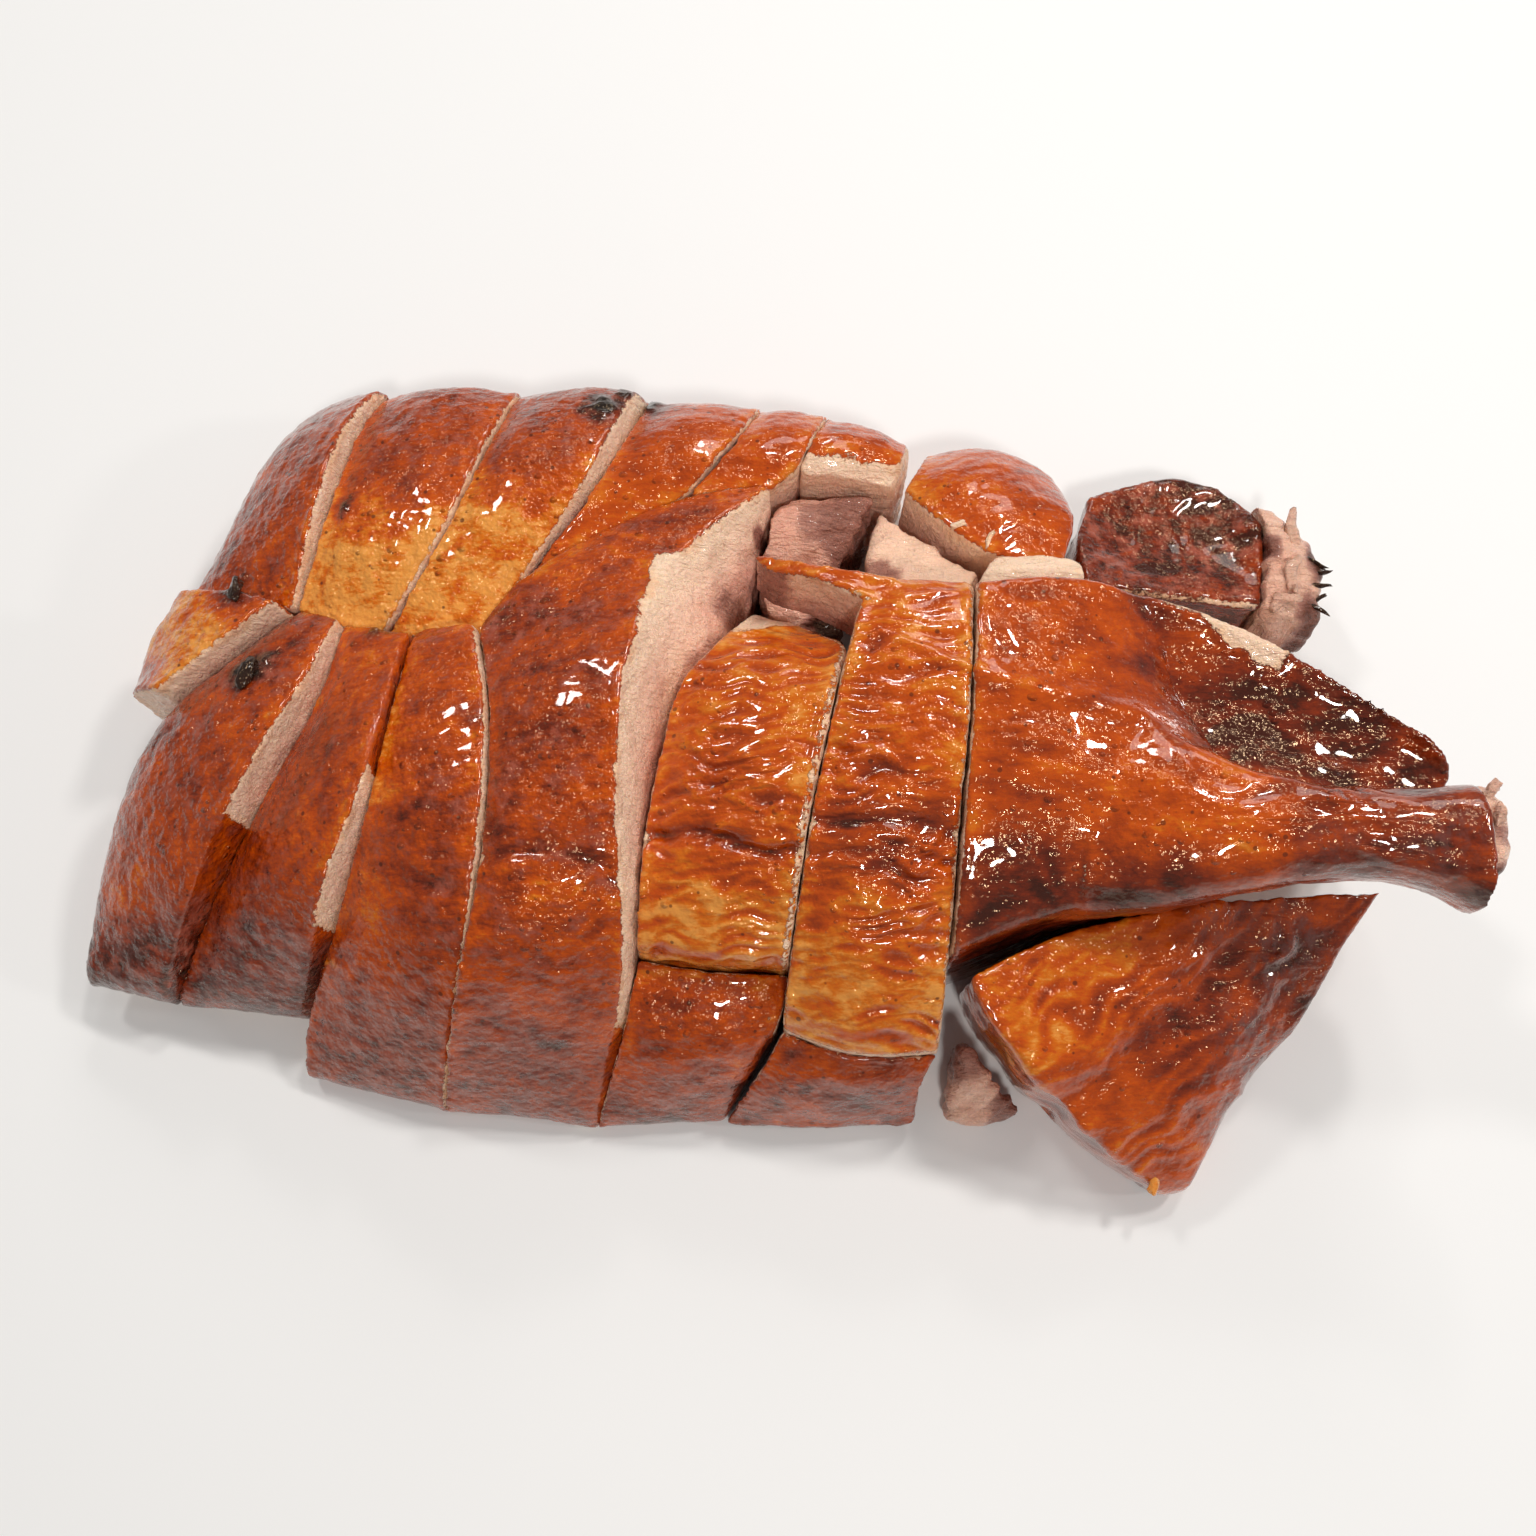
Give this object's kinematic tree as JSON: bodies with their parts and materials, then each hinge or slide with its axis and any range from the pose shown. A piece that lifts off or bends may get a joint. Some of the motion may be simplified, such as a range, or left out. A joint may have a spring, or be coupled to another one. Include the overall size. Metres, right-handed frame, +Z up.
{
  "type": "chopped roast duck",
  "caption": "Half roast duck chopped into slices that keep the bird's shape, with a leg at one end, glossy browned skin on top and pale meat at the cuts.",
  "frame": {"origin": "centre of the outline seen from above, on the surface the duck rests on", "axes": "+Z up, +X towards the drumstick's end, -Y towards the side that shows the long slices' front ends"},
  "size_m": [0.2702, 0.1724, 0.0683],
  "materials": {
    "brown_skin": "glazed dark browned skin",
    "amber_skin": "glazed amber browned skin",
    "pale_meat": "moist pale meat",
    "dark_meat": "moist dark meat",
    "bone": "cooked bone and gristle"
  },
  "bodies": {
    "root": {"front_slice_1": "amber_skin", "front_slice_2": "brown_skin", "front_slice_3": "brown_skin", "front_slice_4": "amber_skin", "front_slice_5": "brown_skin", "front_slice_6": "amber_skin", "front_slice_7": "amber_skin", "side_piece_1": "brown_skin", "side_piece_2": "dark_meat", "meat_chunk": "dark_meat", "leg_quarter": "amber_skin", "leg_bone": "bone", "belly_flap": "amber_skin", "back_slice_1": "brown_skin", "back_slice_2": "brown_skin", "back_slice_3": "brown_skin", "back_slice_4": "amber_skin", "back_slice_5": "amber_skin", "back_slice_6": "amber_skin", "back_slice_7": "amber_skin", "inner_meat": "dark_meat", "meat_wedge": "pale_meat", "meat_strip": "pale_meat", "bony_piece": "dark_meat", "rump_bone": "bone"}
  },
  "joints": []
}
